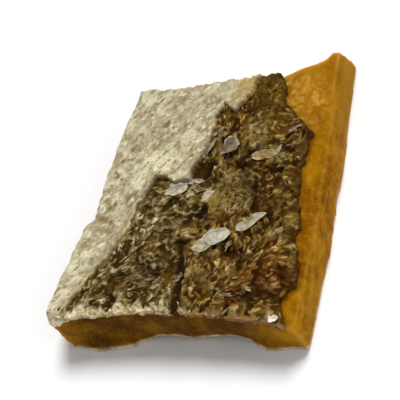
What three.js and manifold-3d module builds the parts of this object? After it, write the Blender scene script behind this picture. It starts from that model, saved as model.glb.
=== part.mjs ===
// A "cube" of dried salmon: a square slab of amber flesh with the skin still on its upper side.
// Units are millimetres and +Z is up. The slab lies flesh side down, and the origin is under the
// middle of its box, on the plane that it rests on.
import * as THREE from "three";
import { mergeVertices } from "three/addons/utils/BufferGeometryUtils.js";
import Module from "manifold-3d";

const wasm = await Module();
wasm.setup();

// Plan of the cut slab, seen from the skin side
const WIDTH = 39.8; // over all, left to right
const DEPTH = 45.8; // over all, front to back
const FRONT_SKEW = 0.1; // the front right corner lies this far behind the front left one
const LEFT_SLANT = 6.1; // the left cut runs inwards by this much on its way back
const RIGHT_SLANT = 0.4; // the right cut runs outwards by this much on its way back
const RIGHT_BOW = 0.6; // and swells outwards by this much in its middle
const RIGHT_INSET = 0.902; // its front end lies this far inside its crest
const BACK_SKEW = 2.3; // the back left corner lies this far in front of the back right one
const FRONT_BOW = 1.3; // the front cut is hollow by this much in its middle
// The back cut runs out to a tab on its right, as [share of the width, reach]
const TAB = [[0.7, 0], [0.8, 1.0], [0.93, 1.7], [0.96, 3.6]];
const TAB_REACH = TAB.at(-1)[1];
const TAB_ROOT = 0.9; // share of the depth where the tab starts
// The cut faces lean inwards on their way up by this much, or outwards where it is less than 0
const LEAN = { frontLeft: 1.6, frontRight: 0.4, leftFront: -1.4, leftBack: 0.2, right: 0.7, back: 0.7 };
const WALL_BULGE = 0.15; // the cut faces swell by this much at half height
const CUT_UNEVENNESS = 0.22;

// Heights of the flesh
const FLESH_THICKNESS = 6.2;
const CORNER_RISE = 0.9; // extra thickness at the front left corner
const TOP_ARCH = 0.8; // drying lifts the middle of the front edge
const UNDERSIDE_ARCH = 1.6;
const ARCH = { from: 0.2, to: 0.88, reach: 0.45 }; // shares of the width and of the depth
// The right edge falls away over a share of the width, and less so at its back end
const SHOULDER = { width: 0.09, drop: 1.5, backDrop: 0.7, backFrom: 0.8 };
const SWELL = { height: 0.22, across: 1.1, along: 0.95 }; // waves of the dried surface over the slab

// Skin
const SKIN_THICKNESS = 0.8;
const SKIN_THINNEST = 0.25; // what is left of it in a tear
const SKIN_GAP = 0.2; // clearance between flesh and skin
// Share of the width that the skin covers from the left, as [share of the depth, share of the width]
const SKIN_REACH = [
  [0, 0.955], [0.1, 0.935], [0.2, 0.965], [0.47, 0.916], [0.69, 0.902], [0.74, 0.915],
  [0.79, 0.85], [0.88, 0.785], [1, 0.73],
];
const SKIN_RAGGED = 0.012; // share of the width and depth by which its torn edges wander
const LIP = { width: 2.2, drop: 0.9 }; // its left edge is rounded over
const FOLD = { overhang: 0.6, end: 0.43, notch: 0.7, notchEnd: 0.54 }; // and hangs over, up to a notch
const FOLD_RAMP = { front: 0.15, back: 0.03 }; // shares of the depth
const BAND_LIFT = 0.65; // the pale band of skin lies this much higher than the dark part
const BAND_STEP = 0.9; // width of the step between them
const CREASE = { depth: 0.5, width: 0.9 };
const PIT = { x: 0.9, y: 3.6, radius: 1.9, depth: 0.6 }; // torn spot beside the pale band
const SCALES = { height: 0.22, pitch: 3.4, drift: 0.9, driftPitch: 11 }; // rows of scale pockets
const BAND_RELIEF = 0.3; // share of their height that shows through on the pale band

// Inner edge of the pale band, front to back, as [y, x]
const BAND_EDGE = [
  [-22.9, -17.6], [-15.4, -14.0], [-8.0, -9.8], [-1.4, -8.2], [1.8, -6.0],
  [2.4, -1.2], [6.4, 0.2], [13.9, 2.0], [17.8, 7.4],
];
// Crease from the front edge to the torn spot, as [y, x]
const CREASE_LINE = [[-22.9, 0.8], [-13.1, 0.0], [-8.1, -0.6], [-3.9, 2.1], [PIT.y, PIT.x]];

// Loose scales that dried on to the skin
const LOOSE_SCALES = [
  { x: 4.2, y: -8.5, length: 6.1, width: 2.6, turn: 30 },
  { x: 9.7, y: -6.4, length: 4.3, width: 1.6, turn: 28 },
  { x: -1.7, y: 0.0, length: 6.0, width: 2.2, turn: 8 },
  { x: 4.7, y: 6.0, length: 3.2, width: 2.4, turn: 18 },
  { x: 10.4, y: 4.4, length: 3.4, width: 1.7, turn: 11 },
];
const SCALE_BELLY = 0.42; // half thickness of a loose scale at its middle
const SCALE_TILT = 6; // degrees

// Mesh divisions along the width, the depth and the height
const FLESH_CELLS = [32, 32, 4];
const SKIN_CELLS = [42, 44, 1];
const LOOSE_SCALE_CELLS = [12, 6];

const { clamp, degToRad, lerp, smoothstep } = THREE.MathUtils;
const TURN = 2 * Math.PI;

// Value at a place on a line through [place, value] pairs in rising order
function along(pairs, place) {
  const next = pairs.findIndex(([at]) => at >= place);
  if (next === 0) return pairs[0][1];
  if (next < 0) return pairs.at(-1)[1];
  const [[from, first], [to, last]] = pairs.slice(next - 1, next + 1);
  return lerp(first, last, (place - from) / (to - from));
}

// Uneven line between -1 and 1, with about 3, 7 and 12 waves over the shares from 0 to 1
function wobble(t, seed) {
  const slow = 0.5 * Math.sin(TURN * 3.1 * t + seed);
  const quick = 0.3 * Math.sin(TURN * 6.7 * t + 2.3 * seed);
  const fine = 0.2 * Math.sin(TURN * 11.9 * t + 4.1 * seed);
  return slow + quick + fine;
}

// Rise and fall that is 0 at both ends of a range and 1 in its middle
function hump(value, from, to) {
  return Math.sin(Math.PI * clamp((value - from) / (to - from), 0, 1)) ** 2;
}

// A cut from one corner to another, bowed to its left and a little uneven
function cut(start, end, bow, seed) {
  const side = new THREE.Vector2(start.y - end.y, end.x - start.x).normalize();
  return (t) => {
    const offset = bow * 4 * t * (1 - t) + CUT_UNEVENNESS * hump(t, 0, 1) * wobble(t, seed);
    return start.clone().lerp(end, t).addScaledVector(side, offset);
  };
}

const corners = {
  frontLeft: new THREE.Vector2(-WIDTH / 2 - LEAN.leftFront, -DEPTH / 2),
  frontRight: new THREE.Vector2(WIDTH / 2 - RIGHT_INSET, FRONT_SKEW - DEPTH / 2),
  backLeft: new THREE.Vector2(-WIDTH / 2 - LEAN.leftFront + LEFT_SLANT, DEPTH / 2 - TAB_REACH - BACK_SKEW),
  backRight: new THREE.Vector2(WIDTH / 2 - RIGHT_INSET + RIGHT_SLANT, DEPTH / 2 - TAB_REACH),
};
const cuts = {
  front: cut(corners.frontLeft, corners.frontRight, FRONT_BOW, 1),
  back: cut(corners.backLeft, corners.backRight, 0, 2),
  left: cut(corners.frontLeft, corners.backLeft, 0, 3),
  right: cut(corners.frontRight, corners.backRight, -RIGHT_BOW, 4),
};

// Point of the plan at shares u of the width and v of the depth: a Coons patch between the four cuts,
// with the tab drawn out of its back right corner
function plan(u, v) {
  const bilinear = corners.frontLeft.clone().multiplyScalar((1 - u) * (1 - v))
    .addScaledVector(corners.frontRight, u * (1 - v))
    .addScaledVector(corners.backLeft, (1 - u) * v)
    .addScaledVector(corners.backRight, u * v);
  const point = cuts.front(u).multiplyScalar(1 - v)
    .addScaledVector(cuts.back(u), v)
    .addScaledVector(cuts.left(v), 1 - u)
    .addScaledVector(cuts.right(v), u)
    .sub(bilinear);
  point.y += along(TAB, u) * smoothstep(v, TAB_ROOT, 1);
  return point;
}

function undersideHeight(u, v) {
  return UNDERSIDE_ARCH * hump(u, ARCH.from, ARCH.to) * (1 - smoothstep(v, 0, ARCH.reach));
}

function fleshTopHeight(u, v) {
  const swell = SWELL.height * Math.sin(TURN * SWELL.across * u + 2) * Math.cos(TURN * SWELL.along * v + 1);
  const corner = CORNER_RISE * (1 - u) * (1 - v) ** 2;
  const arch = TOP_ARCH * hump(u, 0, 1) * (1 - v) ** 2;
  const drop = lerp(SHOULDER.drop, SHOULDER.backDrop, smoothstep(v, SHOULDER.backFrom, 1));
  const shoulder = drop * smoothstep(u, 1 - SHOULDER.width, 1);
  return FLESH_THICKNESS + swell + corner + arch - shoulder;
}

// Point of the flesh at shares u, v and w of its width, depth and height
function fleshPoint(u, v, w) {
  const bulge = WALL_BULGE * Math.sin(Math.PI * w);
  const left = lerp(LEAN.leftFront, LEAN.leftBack, v) * w - bulge;
  const right = LEAN.right * w - bulge;
  const front = lerp(LEAN.frontLeft, LEAN.frontRight, u) * w - bulge;
  const back = LEAN.back * w - bulge;
  const point = plan(u, v);
  const z = lerp(undersideHeight(u, v), fleshTopHeight(u, v), w);
  return new THREE.Vector3(point.x + lerp(left, -right, u), point.y + lerp(front, -back, v), z);
}

// Staggered bumps whose rows drift to and fro, between -1 and 1
function scaleRows(x, y) {
  const driftX = x + SCALES.drift * Math.sin((TURN * y) / SCALES.driftPitch + 1);
  const driftY = y + SCALES.drift * Math.sin((TURN * x) / SCALES.driftPitch);
  const row = (Math.PI * (driftX + driftY)) / SCALES.pitch;
  const column = (Math.PI * (driftX - driftY)) / SCALES.pitch;
  return Math.cos(row) * Math.cos(column);
}

// Height that the skin's outer face has over its even thickness
function skinRelief(x, y) {
  const onBand = 1 - smoothstep(x - along(BAND_EDGE, y), -BAND_STEP / 2, BAND_STEP / 2);
  const creaseSide = (x - along(CREASE_LINE, y)) / CREASE.width;
  const creaseEnd = 1 - smoothstep(y, PIT.y - CREASE.width, PIT.y);
  const crease = CREASE.depth * Math.exp(-(creaseSide ** 2)) * creaseEnd;
  const pitSide = Math.hypot(x - PIT.x, y - PIT.y) / PIT.radius;
  const pit = PIT.depth * Math.exp(-(pitSide ** 2)) * (1 - onBand);
  const scales = SCALES.height * scaleRows(x, y) * lerp(1, BAND_RELIEF, onBand);
  return BAND_LIFT * onBand + scales - crease - pit;
}

// Distance of the skin's left edge from the flesh's, at share t of the depth
function skinLeft(t) {
  if (t > FOLD.end) return FOLD.notch * hump(t, 2 * FOLD.end - FOLD.notchEnd, FOLD.notchEnd);
  const rise = smoothstep(t, 0, FOLD_RAMP.front);
  const fall = 1 - smoothstep(t, FOLD.end - FOLD_RAMP.back, FOLD.end);
  return -FOLD.overhang * rise * fall;
}

// Point of the skin at shares s and t of its own width and depth, on its inner or outer face
function skinPoint(s, t, isOuter) {
  const front = (SKIN_RAGGED * (1 + wobble(s, 6))) / 2;
  const back = 1 - (SKIN_RAGGED * (1 + wobble(s, 7))) / 2;
  const left = skinLeft(t) / WIDTH;
  const right = along(SKIN_REACH, t) + SKIN_RAGGED * wobble(t, 5);
  const point = fleshPoint(lerp(left, right, s), lerp(front, back, t), 1);
  point.z += SKIN_GAP;
  if (isOuter) {
    const towardsLip = clamp(1 - (s * WIDTH) / LIP.width, 0, 1);
    const lip = LIP.drop * (1 - Math.sqrt(1 - towardsLip ** 2));
    point.z += Math.max(SKIN_THICKNESS + skinRelief(point.x, point.y) - lip, SKIN_THINNEST);
  }
  return point;
}

// Box of unit size whose vertices, as shares from 0 to 1, are moved by a function
function shapedBox(cells, place) {
  const box = new THREE.BoxGeometry(1, 1, 1, ...cells);
  box.deleteAttribute("normal");
  box.deleteAttribute("uv");
  const geometry = mergeVertices(box);
  const position = geometry.getAttribute("position");
  for (let i = 0; i < position.count; i++) {
    const { x, y, z } = place(position.getX(i) + 0.5, position.getY(i) + 0.5, position.getZ(i) + 0.5);
    position.setXYZ(i, x, y, z);
  }
  return geometry;
}

function toSolid(geometry) {
  return new wasm.Manifold(new wasm.Mesh({
    numProp: 3,
    vertProperties: geometry.getAttribute("position").array,
    triVerts: new Uint32Array(geometry.index.array),
  }));
}

function toGeometry(solid) {
  const { vertProperties, triVerts } = solid.getMesh();
  const geometry = new THREE.BufferGeometry();
  geometry.setAttribute("position", new THREE.BufferAttribute(vertProperties, 3));
  geometry.setIndex(new THREE.BufferAttribute(triVerts, 1));
  geometry.computeVertexNormals();
  return geometry;
}

// Height of a sheet's highest vertex within reach of a place in plan
function topNear(sheet, x, y, reach) {
  const position = sheet.getAttribute("position");
  let height = 0;
  for (let i = 0; i < position.count; i++) {
    const isNear = Math.hypot(position.getX(i) - x, position.getY(i) - y) < reach;
    if (isNear) height = Math.max(height, position.getZ(i));
  }
  return height;
}

// A flat lens that lies on the sheet, half sunk into it
function looseScale(sheet, { x, y, length, width, turn }) {
  const ball = new THREE.SphereGeometry(1, ...LOOSE_SCALE_CELLS);
  ball.deleteAttribute("normal");
  ball.deleteAttribute("uv");
  return mergeVertices(ball)
    .scale(length / 2, SCALE_BELLY, width / 2)
    .rotateX(Math.PI / 2 + degToRad(SCALE_TILT))
    .rotateZ(degToRad(turn))
    .translate(x, y, topNear(sheet, x, y, width / 2));
}

function fleshGeometry() {
  const geometry = shapedBox(FLESH_CELLS, fleshPoint);
  geometry.computeVertexNormals();
  return geometry;
}

function skinGeometry() {
  const sheet = shapedBox(SKIN_CELLS, (s, t, w) => skinPoint(s, t, w > 0.5));
  const scales = LOOSE_SCALES.map((scale) => toSolid(looseScale(sheet, scale)));
  return toGeometry(scales.reduce((skin, scale) => skin.add(scale), toSolid(sheet)));
}

function node(name, geometry, material) {
  const mesh = new THREE.Mesh(geometry, material);
  mesh.name = name;
  return mesh;
}

const fleshMaterial = new THREE.MeshStandardMaterial({ color: 0x97661a, roughness: 0.45, metalness: 0 });
const skinMaterial = new THREE.MeshStandardMaterial({ color: 0x6a5735, roughness: 0.6, metalness: 0 });

const salmon = new THREE.Group();
salmon.add(node("flesh", fleshGeometry(), fleshMaterial));
salmon.add(node("skin", skinGeometry(), skinMaterial));

export default salmon;
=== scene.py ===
# Looks of a dried salmon cube: translucent amber flesh under a scaly skin with a pale band.
# Lengths are millimetres in the values and arrays here, and metres once they are Blender meshes.
import math

import bmesh
import bpy
import numpy as np
from mathutils import Matrix, Vector
from mathutils.bvhtree import BVHTree


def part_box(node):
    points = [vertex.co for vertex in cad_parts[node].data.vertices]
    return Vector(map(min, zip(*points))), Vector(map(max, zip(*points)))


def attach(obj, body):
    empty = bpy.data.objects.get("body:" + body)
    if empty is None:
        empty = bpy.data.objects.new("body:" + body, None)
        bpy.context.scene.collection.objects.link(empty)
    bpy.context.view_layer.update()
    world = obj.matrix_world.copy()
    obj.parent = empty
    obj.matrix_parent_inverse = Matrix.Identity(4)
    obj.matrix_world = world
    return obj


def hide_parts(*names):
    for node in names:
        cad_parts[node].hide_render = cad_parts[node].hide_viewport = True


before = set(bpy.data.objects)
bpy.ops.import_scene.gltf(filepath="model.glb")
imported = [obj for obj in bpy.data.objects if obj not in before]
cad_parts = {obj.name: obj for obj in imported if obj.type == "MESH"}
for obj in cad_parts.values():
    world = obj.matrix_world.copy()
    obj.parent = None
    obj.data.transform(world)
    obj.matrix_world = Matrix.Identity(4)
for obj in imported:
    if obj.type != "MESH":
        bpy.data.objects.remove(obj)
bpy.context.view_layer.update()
MM = 0.001

# Upper corners of the slab, as distances in from the sides of the flesh's box
CORNER_INSETS = {
    "front_left": (0.0, 1.6),
    "front_right": (1.6, 0.5),
    "back_left": (7.7, 6.6),
    "back_right": (1.2, 4.3),
}
FRONT_BOW = 1.3  # depth of the hollow front
RIGHT_BOW = 0.6  # bulge of the right side

# Flesh
FLESH_VOXEL = 0.25
FLESH_WAVES = [(7.0, 0.07), (2.0, 0.04), (0.6, 0.02)]  # spacing and height of the lumps
SCALE_PRINTS = {"x": 13.6, "y": 13.4, "reach": 6.5, "spacing": 0.5, "height": 0.15}  # beside the lobe
SKIN_EDGE_SHADE = 0.8  # width of the brown border along the skin: painted shade of the skin's edge
LIGHT_ENDS = {"left": 6.0, "right": 9.5}  # widths of the lighter ends of the front
THIN_TAB = (4.0, 15.0)  # depths between which the flesh gets thinner and a lighter painted glow
RAGGED_EDGE = {"crags": (1.1, 0.3), "below": 2.4, "behind": (1.5, 5.0), "rim": 0.95}  # lower front edge
LOWER_WAVES = [  # places across the front, and how far the lower edge is raised there
    (-18.0, 0.0), (-14.0, -1.1), (-9.5, -1.1), (-3.0, 0.5),
    (2.3, -1.1), (7.6, 0.9), (13.0, -1.2), (18.5, -0.2),
]
FORWARD = 1.0  # the edge comes forward by this share of what would be below the floor
NOTCH = {"y": -3.8, "depth": 1.2, "width": 2.3}  # dent in the left side
SHOULDER_ABOVE = (3.0, 4.5)  # the shoulder up here is rounder than the cut edges below
SHARP_TAB = (17.0, 20.0)  # depths between which the shoulder gets its sharp edge back
LIGHT_CORNER = {"above": 0.9, "depths": (-21.0, -11.0)}  # pale lower edge of the right side

# Skin
SKIN_THICKNESS = 0.8
SKIN_SINK = 0.25  # its inner face lies this far inside the flesh
SKIN_THINNEST = 0.22
SKIN_LUMPS = [(5.0, 0.2), (2.2, 0.16), (0.9, 0.1), (0.4, 0.06), (0.2, 0.03)]  # spacing and height
DARK_THINNER = 0.25  # than the pale band
SKIN_CELLS = (272, 304)  # across and along
BAND_CELLS = (136, 304)
CUT_CELLS = 8  # cells down the cut sides
CUT_BULGE = 0.12
CUT_ROUGH = [(0.6, 0.15), (0.3, 0.09)]
COARSE = 8  # cells of the fine face for each cell of the hidden inner face
SKIN_LEFT = (0.02, 0.35)  # share of the width where the dark skin starts, front and back
BAND_RIGHT = (0.16, 0.72)  # share of the width where the pale sheet ends, front and back
SKIN_REACH = [  # share of the width where the dark skin ends, front to back
    (0, 0.96), (0.03, 0.958), (0.1, 0.933), (0.16, 0.966), (0.22, 0.967), (0.33, 0.945), (0.47, 0.918),
    (0.6, 0.908), (0.68, 0.922), (0.74, 0.94), (0.8, 0.868), (0.88, 0.79), (0.96, 0.765), (1, 0.722),
]
RAGGED = [(2.6, 0.36), (0.9, 0.28), (0.4, 0.16)]  # waves of that right border
THIN_BORDER = {"width": 1.6, "share": 0.6}  # thinner right border
THIN_FRONT = {"along": 0.035, "share": 0.8, "height": 0.28, "rough": 0.3}  # frayed front
BACK_TONGUE = {"x": 9.9, "reach": 1.4, "length": 0.8}  # rounded back end of the lobe
FRAYED_FRONT = [(1.4, 0.22), (0.5, 0.16), (0.25, 0.1)]
UNDER_BAND = {"depths": (0.8, 2.0), "thinner": 0.6, "shorter": 0.6}  # dark skin under the pale band

# Inner edge of the pale band, front to back
BAND_EDGE = [
    (-17.7, -23.6), (-16.7, -19.1), (-14.5, -15.8), (-11.5, -11.2), (-9.7, -8.2), (-8.5, -5.0),
    (-7.6, -1.6), (-6.4, 1.4), (-4.9, 1.4), (-2.9, 0.1), (-0.6, 0.6), (-0.4, 2.6), (0.8, 5.7),
    (1.3, 8.4), (1.1, 11.4), (2.3, 13.8), (4.3, 11.6), (6.2, 14.7), (7.8, 17.3), (9.3, 19.6),
]
BAND_LIFT = [(0, 0.0), (0.42, 0.1), (0.55, 0.45), (1, 0.45)]  # over the dark part, front to back
BAND_SOFT = [(0, 1.0), (0.42, 0.9), (0.55, 0.2), (1, 0.15)]  # half width of its inner edge
BAND_SUNK = 0.1  # depth in the flesh where the sheet runs on beyond that edge
BAND_CURL = {"height": 0.25, "inside": 0.4, "width": 0.5}  # raised rim along its inner edge
BAND_FRAY = [(1.7, 0.3), (0.7, 0.2), (0.35, 0.1)]
BAND_LUMPS = [(6.0, 0.2), (2.2, 0.14), (0.9, 0.07), (0.45, 0.05)]
BAND_WRINKLES = {"layers": [(1.0, 0.7), (0.5, 0.5), (0.25, 0.2)], "drawn": 2.2, "height": 0.25}
BAND_FRONT = {"along": 0.03, "thinner": 0.45}  # its front end
BAND_TAN = {"x": 5.8, "y": 16.2, "radius": 3.6}  # browned end beside the lobe
LIP = [  # left edge of the band, inside the slab's side, front to back
    (0, 0.5), (0.02, -0.3), (0.07, -1.3), (0.2, -1.8), (0.29, -1.6), (0.41, -0.9), (0.435, 0.8),
    (0.5, 0.6), (0.6, 0.1), (0.75, -0.3), (1, -0.4),
]
LIP_ROUNDING = 0.9
LIP_DROOP = 1.2  # slope of the overhanging skin
CORNER = {"x": 1.4, "reach": 1.3, "along": 0.022, "down": 0.7, "forward": 0.8}  # skin over the left corner
FOLD_LINE = [(-17.3, -5.7), (-15.2, -5.2), (-13.4, -5.6), (-12.2, -6.4)]
FOLD = {"width": 0.5, "depth": 0.3}
SPECKS = {"count": 170, "length": (0.35, 0.95), "slimness": 0.6, "spread": 25, "depth": 0.08}  # on the band
DARK_SPOT = {"x": -6.3, "y": 10.3, "length": 1.7, "width": 0.9, "turn": 75}

CREASE = [(1.2, -23.1), (1.0, -19.0), (0.8, -13.6), (-0.2, -9.0), (2.4, -4.6), (1.4, 2.3)]
CREASE_CLOSED = (-10.5, -8.5)  # depths between which the crease closes, in front of the hole
CREASE_WIDTH = (0.2, 0.8)  # distances from its line between which it runs out
CREASE_DEPTH = 0.35
RIGHT_PART = (-2, 3)  # distances right of the crease between which the browner part starts
PIT = {"x": 1.3, "y": 2.6, "length": 4.2, "width": 3.2, "turn": 70}
HOLE = {"x": 2.4, "y": -4.6, "length": 3.0, "width": 1.6, "turn": 65}
PIT_DEPTH = 0.55  # of the pit and the hole
TORN_FRONT = [  # places across, and the share of the depth that is torn pale there
    (-18.0, 0.02), (-14.3, 0.05), (-13.0, 0.03), (-12.0, 0.045), (-10.2, 0.01), (-9.2, 0.015),
    (-7.9, 0.075), (-6.8, 0.02), (-5.4, 0.045), (-3.2, 0.015), (-1.3, 0.05), (0.8, 0.006),
    (2.1, 0.04), (4.5, 0.012), (7.0, 0.03), (9.0, 0.01), (12.0, 0.018), (17.0, 0.012),
]

# Scales on the dark part: plates under flaps with pale free rims, and ridges of crumpled skin
GRAIN = 48  # degrees, the way most ridges run
PLATES = {
    "pitch": (2.3, 2.8), "length": (1.0, 1.9), "width": (1.1, 2.0), "height": (0.1, 0.55), "lost": 0.25,
}
FLAPS = {
    "pitch": (0.75, 1.1), "length": (0.26, 0.6), "width": (0.3, 0.85), "height": (0.08, 0.42), "lost": 0.2,
}
RIDGES = {
    "count": 700, "length": (0.4, 1.3), "width": (0.1, 0.24), "height": (0.1, 0.35),
    "x": (-18, 18), "y": (-21.5, 18.5),
}

# Patches of the dark part: place and radius
DARK_PATCHES = [
    (2.5, -5.1, 1.6), (8.1, -10.8, 1.8), (12.4, -17.6, 1.9), (9.6, 6.0, 1.6), (13.2, 2.0, 1.2),
    (13.4, 5.6, 1.1), (4.6, 9.8, 1.6), (-5.3, -13.2, 1.4), (11.4, 9.2, 1.4), (15.2, 0.4, 1.8),
    (-9.4, -18.9, 1.4), (9.6, -9.0, 1.6), (9.2, -1.3, 1.3),
]
LIGHT_PATCHES = [
    (-7.1, -5.4, 1.3), (-5.9, -8.9, 1.1), (-1.6, -10.2, 1.8), (-0.9, -15.6, 1.6), (5.7, -19.0, 2.6),
    (3.2, -2.3, 1.6), (8.3, 7.9, 1.8), (-0.2, -5.4, 2.6), (-6.2, 0.2, 1.6), (-5.4, -18.4, 1.5),
    (13.1, -11.6, 1.6), (12.2, -19.9, 1.4), (7.4, -15.9, 1.6),
]
RED_PATCHES = [(13.3, -14.6, 3.4), (15.7, 8.3, 1.8), (9.6, -18.0, 1.6)]
TAN_PATCHES = [(4.9, -2.4, 2.8), (2.8, -13.9, 1.6), (10.8, 3.9, 1.6), (8.2, 8.2, 2.2), (6.0, 0.6, 1.8)]
OLIVE_PATCHES = [(9.6, 14.6, 5.0)]
LOBE = [(9.6, 13.6, 6.0)]  # finer and calmer than the rest
SHADES = {"middle": 0.55, "plates": 0.4, "waves": 0.42, "light": 0.5, "dark": 0.6}  # brightness
SHADE_WAVES = [(6.0, 0.8), (2.5, 0.8)]

SCALE_VALUES = ("x", "y", "length", "width", "turn", "curl", "tilt", "shade")
LOOSE_SCALES = [  # shade runs from white over grey to yellowish
    dict(zip(SCALE_VALUES, values)) for values in (
        (3.3, -10.3, 2.8, 1.7, 12, 0.3, -0.04, 0.3),
        (4.8, -8.9, 5.4, 2.7, 30, 0.4, 0.03, 0.1),
        (9.8, -6.6, 4.6, 1.6, 33, 0.2, -0.04, 0.25),
        (-2.5, -0.9, 4.1, 1.7, 18, 0.4, -0.05, 0.12),
        (-0.1, 0.3, 3.6, 0.7, 5, 0.2, -0.05, 0.2),
        (4.7, 6.0, 3.0, 2.4, 40, 0.9, 0.12, 0.5),
        (10.5, 4.4, 3.5, 1.5, 10, 0.3, 0.08, 1.0),
        (12.4, 5.1, 1.8, 0.7, 62, 0.2, -0.2, 0.3),
        (2.7, -2.0, 2.4, 1.1, 52, 0.2, 0.0, 0.24),
        (1.1, 6.0, 3.0, 0.7, 62, 0.2, 0.0, 0.4),
        # a small white flake, partly its own white and partly a painted glint
        (15.8, -21.3, 1.4, 1.0, 20, 0.1, 0.0, 0.0),
    )
]
FLAKE = {"cells": (25, 15), "thickness": 0.08, "above": 0.12, "crumple": 0.1, "torn": 0.34}
CHIPS = {"count": 18, "length": (0.8, 1.9), "slimness": (0.25, 0.5), "torn": 0.8}
TUFTS = {
    "count": 62, "length": (0.3, 1.9), "width": (0.3, 0.9), "hanging": 0.15,
    "start": 0.02, "span": 0.91, "off_crease": 0.9,
}

# Camera, as the photograph was taken
CAMERA_AIM = (-1.4, 0.15, 2.2)
CAMERA_DISTANCE = 260
CAMERA_AZIMUTH = 45.8
CAMERA_ELEVATION = 52.2
CAMERA_ROLL = -41.45
CAMERA_LENS = 158.0

# Light: a wide soft key from behind, a weak fill from the right, and a pale sky
LIGHTS = {
    "key": {"azimuth": 180, "elevation": 55, "strength": 2.9, "softness": 25},
    "fill": {"azimuth": 85, "elevation": 30, "strength": 0.6, "softness": 60},
}
SKY_STRENGTH = 0.28


# Numbers and noise

def rise(low, high, value):
    """Smoothly from 0 to 1 while the value goes from low to high."""
    share = np.clip((value - low) / (high - low), 0, 1)
    return share * share * (3 - 2 * share)


def fade(low, high, value):
    """From 1 to 0 while the value goes from low to high."""
    return 1 - rise(low, high, value)


def bell(distance, width):
    return np.exp(-(distance / width) ** 2)


def turned(x, y, angle):
    """Places along and across a direction in plan, in radians."""
    return x * math.cos(angle) + y * math.sin(angle), y * math.cos(angle) - x * math.sin(angle)


def on_line(values, line):
    """Heights of a line of (place, height) points."""
    return np.interp(values, *zip(*line))


def smooth_line(values, line):
    """The same, with a level turn at each point."""
    places, heights = zip(*line)
    step = np.interp(values, places, range(len(line)))
    before = np.minimum(step.astype(int), len(line) - 2)
    share = rise(0, 1, step - before)
    return np.take(heights, before) * (1 - share) + np.take(heights, before + 1) * share


def value_noise(points, spacing, seed):
    """Smooth noise from -1 to 1 with lumps about spacing apart, for points (..., 3)."""
    size = 64
    lattice = np.random.default_rng(seed).uniform(-1, 1, (size, size, size))
    scaled = points / spacing
    cell = np.floor(scaled).astype(int)
    share = rise(0, 1, scaled - cell)
    total = np.zeros(points.shape[:-1])
    for corner in np.ndindex(2, 2, 2):
        weight = np.prod(np.where(corner, share, 1 - share), axis=-1)
        i, j, k = np.moveaxis((cell + corner) % size, -1, 0)
        total += weight * lattice[i, j, k]
    return total


def layered_noise(points, layers, seed):
    return sum(h * value_noise(points, spacing, seed + n) for n, (spacing, h) in enumerate(layers))


def flat_points(x, y):
    return np.stack([x, y, np.zeros_like(x)], axis=-1)


def blurred(grid, passes):
    """Grid averaged with its neighbours along both directions, a number of times."""
    for _ in range(2 * passes):
        padded = np.pad(grid, ((1, 1), (0, 0)), mode="edge")
        grid = (0.25 * padded[:-2] + 0.5 * grid + 0.25 * padded[2:]).T
    return grid


def distance_to_line(x, y, line):
    """Distance from each place to an open line of points."""
    best = np.full(x.shape, np.inf)
    for (ax, ay), (bx, by) in zip(line, line[1:]):
        dx, dy = bx - ax, by - ay
        share = np.clip(((x - ax) * dx + (y - ay) * dy) / (dx * dx + dy * dy), 0, 1)
        best = np.minimum(best, np.hypot(x - ax - share * dx, y - ay - share * dy))
    return best


def left_of_line(x, y, line):
    """Whether each place lies on the left of a line that runs from front to back."""
    crossings = np.zeros(np.shape(x), int)
    for (ax, ay), (bx, by) in zip(line, line[1:]):
        beside = (ay > y) != (by > y)
        rise = by - ay if by != ay else 1e-9
        crossings += beside & (x < ax + (y - ay) / rise * (bx - ax))
    return crossings % 2 == 1


def direction(azimuth, elevation):
    """Unit vector towards an azimuth, counted from the front to the right, and an elevation."""
    a, e = math.radians(azimuth), math.radians(elevation)
    return Vector((math.sin(a) * math.cos(e), -math.cos(a) * math.cos(e), math.sin(e)))


# Plan of the slab

def upper_corners():
    """Upper corners of the slab in plan, from the box of the flesh."""
    low, high = (np.array(point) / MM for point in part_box("flesh"))
    return {
        name: (
            low[0] + x if name.endswith("left") else high[0] - x,
            low[1] + y if name.startswith("front") else high[1] - y,
        )
        for name, (x, y) in CORNER_INSETS.items()
    }


def plan(u, v):
    """Place in plan at shares u of the width and v of the depth."""
    x, y = (
        (1 - u) * (1 - v) * corners["front_left"][n] + u * (1 - v) * corners["front_right"][n]
        + (1 - u) * v * corners["back_left"][n] + u * v * corners["back_right"][n]
        for n in (0, 1)
    )
    return x + RIGHT_BOW * 4 * v * (1 - v) * u, y + FRONT_BOW * 4 * u * (1 - u) * (1 - v)


def flesh_height(x, y):
    """Height of the flesh under each place in plan, without its facets."""
    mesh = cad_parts["flesh"].data
    tree = BVHTree.FromPolygons([v.co for v in mesh.vertices], [p.vertices for p in mesh.polygons])
    pull = 0.97  # keeps the rays of places on the rim on the flesh
    heights = np.empty(x.shape)
    for place in np.ndindex(x.shape):
        hit = ray_down(tree, x[place] * pull, y[place] * pull)
        heights[place] = hit.z / MM if hit else np.nan
    return blurred(np.where(np.isnan(heights), np.nanmean(heights), heights), 6)


def ray_down(tree, x, y):
    """Point that a ray from high above meets, or None."""
    return tree.ray_cast(Vector((x * MM, y * MM, 1)), Vector((0, 0, -1)))[0]


# Meshes

def new_object(name, mesh):
    piece = bpy.data.objects.new(name, mesh)
    bpy.context.scene.collection.objects.link(piece)
    return piece


def set_attribute(mesh, name, values):
    attribute = mesh.attributes.new(name, "FLOAT", "POINT")
    attribute.data.foreach_set("value", np.asarray(values, np.float32).ravel())


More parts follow.
